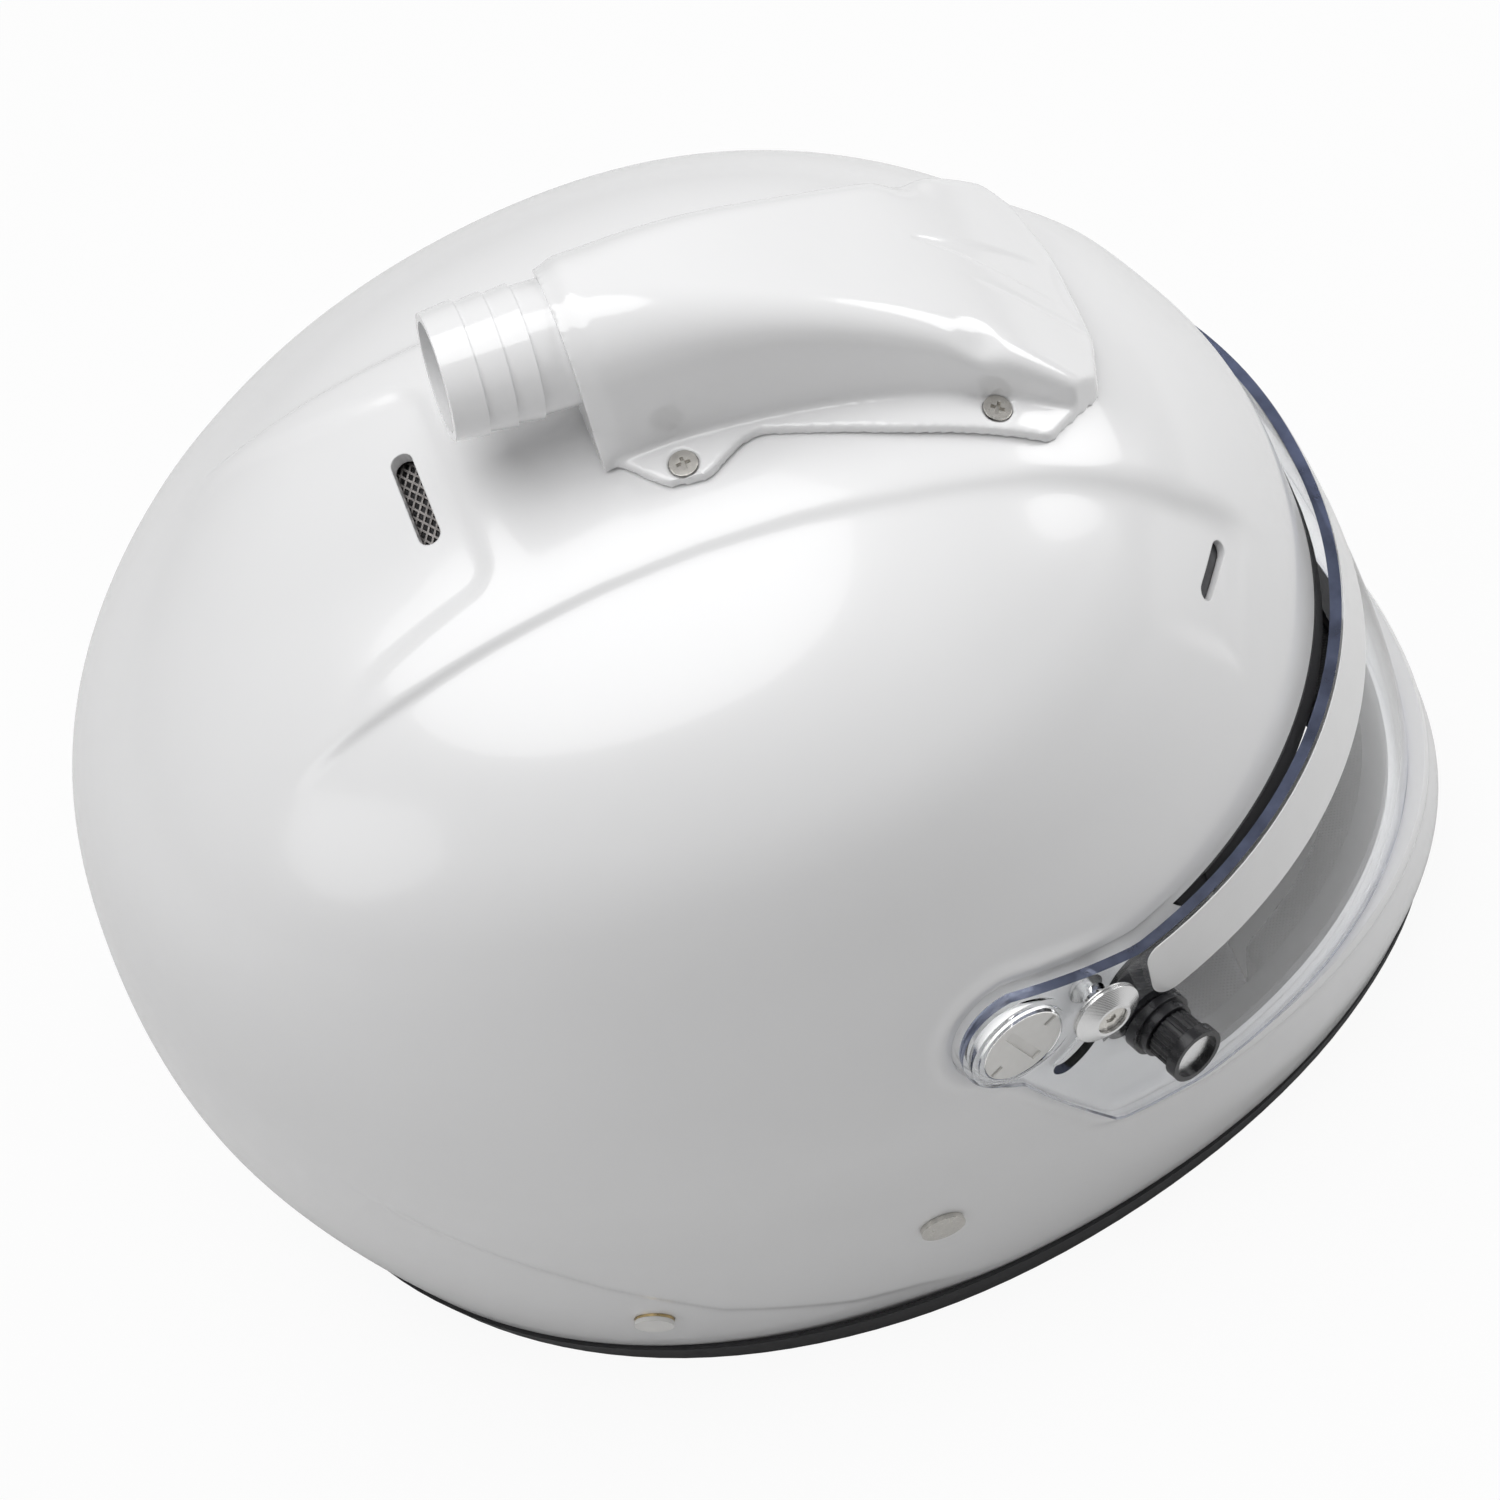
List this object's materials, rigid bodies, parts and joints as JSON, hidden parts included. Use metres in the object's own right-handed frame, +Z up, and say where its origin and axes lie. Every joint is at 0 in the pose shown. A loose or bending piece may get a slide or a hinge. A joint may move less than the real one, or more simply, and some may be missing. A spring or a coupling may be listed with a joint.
{
  "type": "auto racing helmet",
  "caption": "Full-face auto racing helmet with a hinged clear visor, a turn-knob visor lock and a forced-air hose duct on the crown.",
  "frame": {"origin": "centre of the bounding box's bottom, on the surface that the base edge rests on", "axes": "+X to the wearer's left, -Y out of the face opening, +Z up"},
  "size_m": [0.2715, 0.3386, 0.304],
  "materials": {
    "gloss_white": "gloss",
    "black_rubber": "matte",
    "clear_shield": "gloss",
    "white_film": "gloss",
    "white_plastic": "matte",
    "black_plastic": "gloss",
    "turned_aluminium": "satin",
    "bright_steel": "satin",
    "grey_foam": "matte",
    "black_fabric": "matte"
  },
  "bodies": {
    "helmet": {"outer_shell": "gloss_white", "base_trim": "black_rubber", "eyeport_gasket": "black_rubber", "lock_catch": "bright_steel", "pivot_screw_left": "white_plastic", "pivot_screw_right": "white_plastic", "pivot_hub_left": "black_plastic", "pivot_hub_right": "black_plastic", "guide_post_left": "turned_aluminium", "guide_post_right": "turned_aluminium", "guide_screw_left": "bright_steel", "guide_screw_right": "bright_steel", "air_duct": "gloss_white", "duct_nipple": "gloss_white", "duct_gasket": "black_rubber", "duct_screws": "bright_steel", "rear_vent_mesh": "bright_steel", "anchor_insert_left": "bright_steel", "anchor_insert_right": "bright_steel", "anchor_plug_left": "white_plastic", "anchor_plug_right": "white_plastic", "strap_bolt_left": "bright_steel", "strap_bolt_right": "bright_steel", "crown_liner": "grey_foam", "crown_pad": "black_fabric", "chin_liner": "grey_foam", "cheek_pad_left": "black_fabric", "cheek_pad_right": "black_fabric", "neck_roll": "black_fabric", "chin_strap_left": "black_fabric", "chin_strap_right": "black_fabric", "strap_snap": "bright_steel"},
    "shield": {"visor": "clear_shield", "sun_strip": "white_film", "lock_base": "black_plastic"},
    "lock": {"lock_knob": "black_plastic", "lock_cap": "turned_aluminium", "lock_cam": "bright_steel"},
    "rings": {"d_ring_inner": "bright_steel", "d_ring_outer": "bright_steel"}
  },
  "joints": [
    {"name": "visor_hinge", "type": "hinge", "parent": "helmet", "child": "shield", "pos_m": [0, -0.0245, 0.1427], "axis": [-1, 0, 0], "range_deg": [0, 45]},
    {"name": "lock_turn", "type": "hinge", "parent": "shield", "child": "lock", "pos_m": [-0.12169, -0.058, 0.1205], "axis": [0.9272, 0.3746, 0], "range_deg": [0, 90]},
    {"name": "ring_swing", "type": "hinge", "parent": "helmet", "child": "rings", "pos_m": [0.034, 0.003, 0.0051], "axis": [0, 1, 0], "range_deg": [0, 90]}
  ]
}
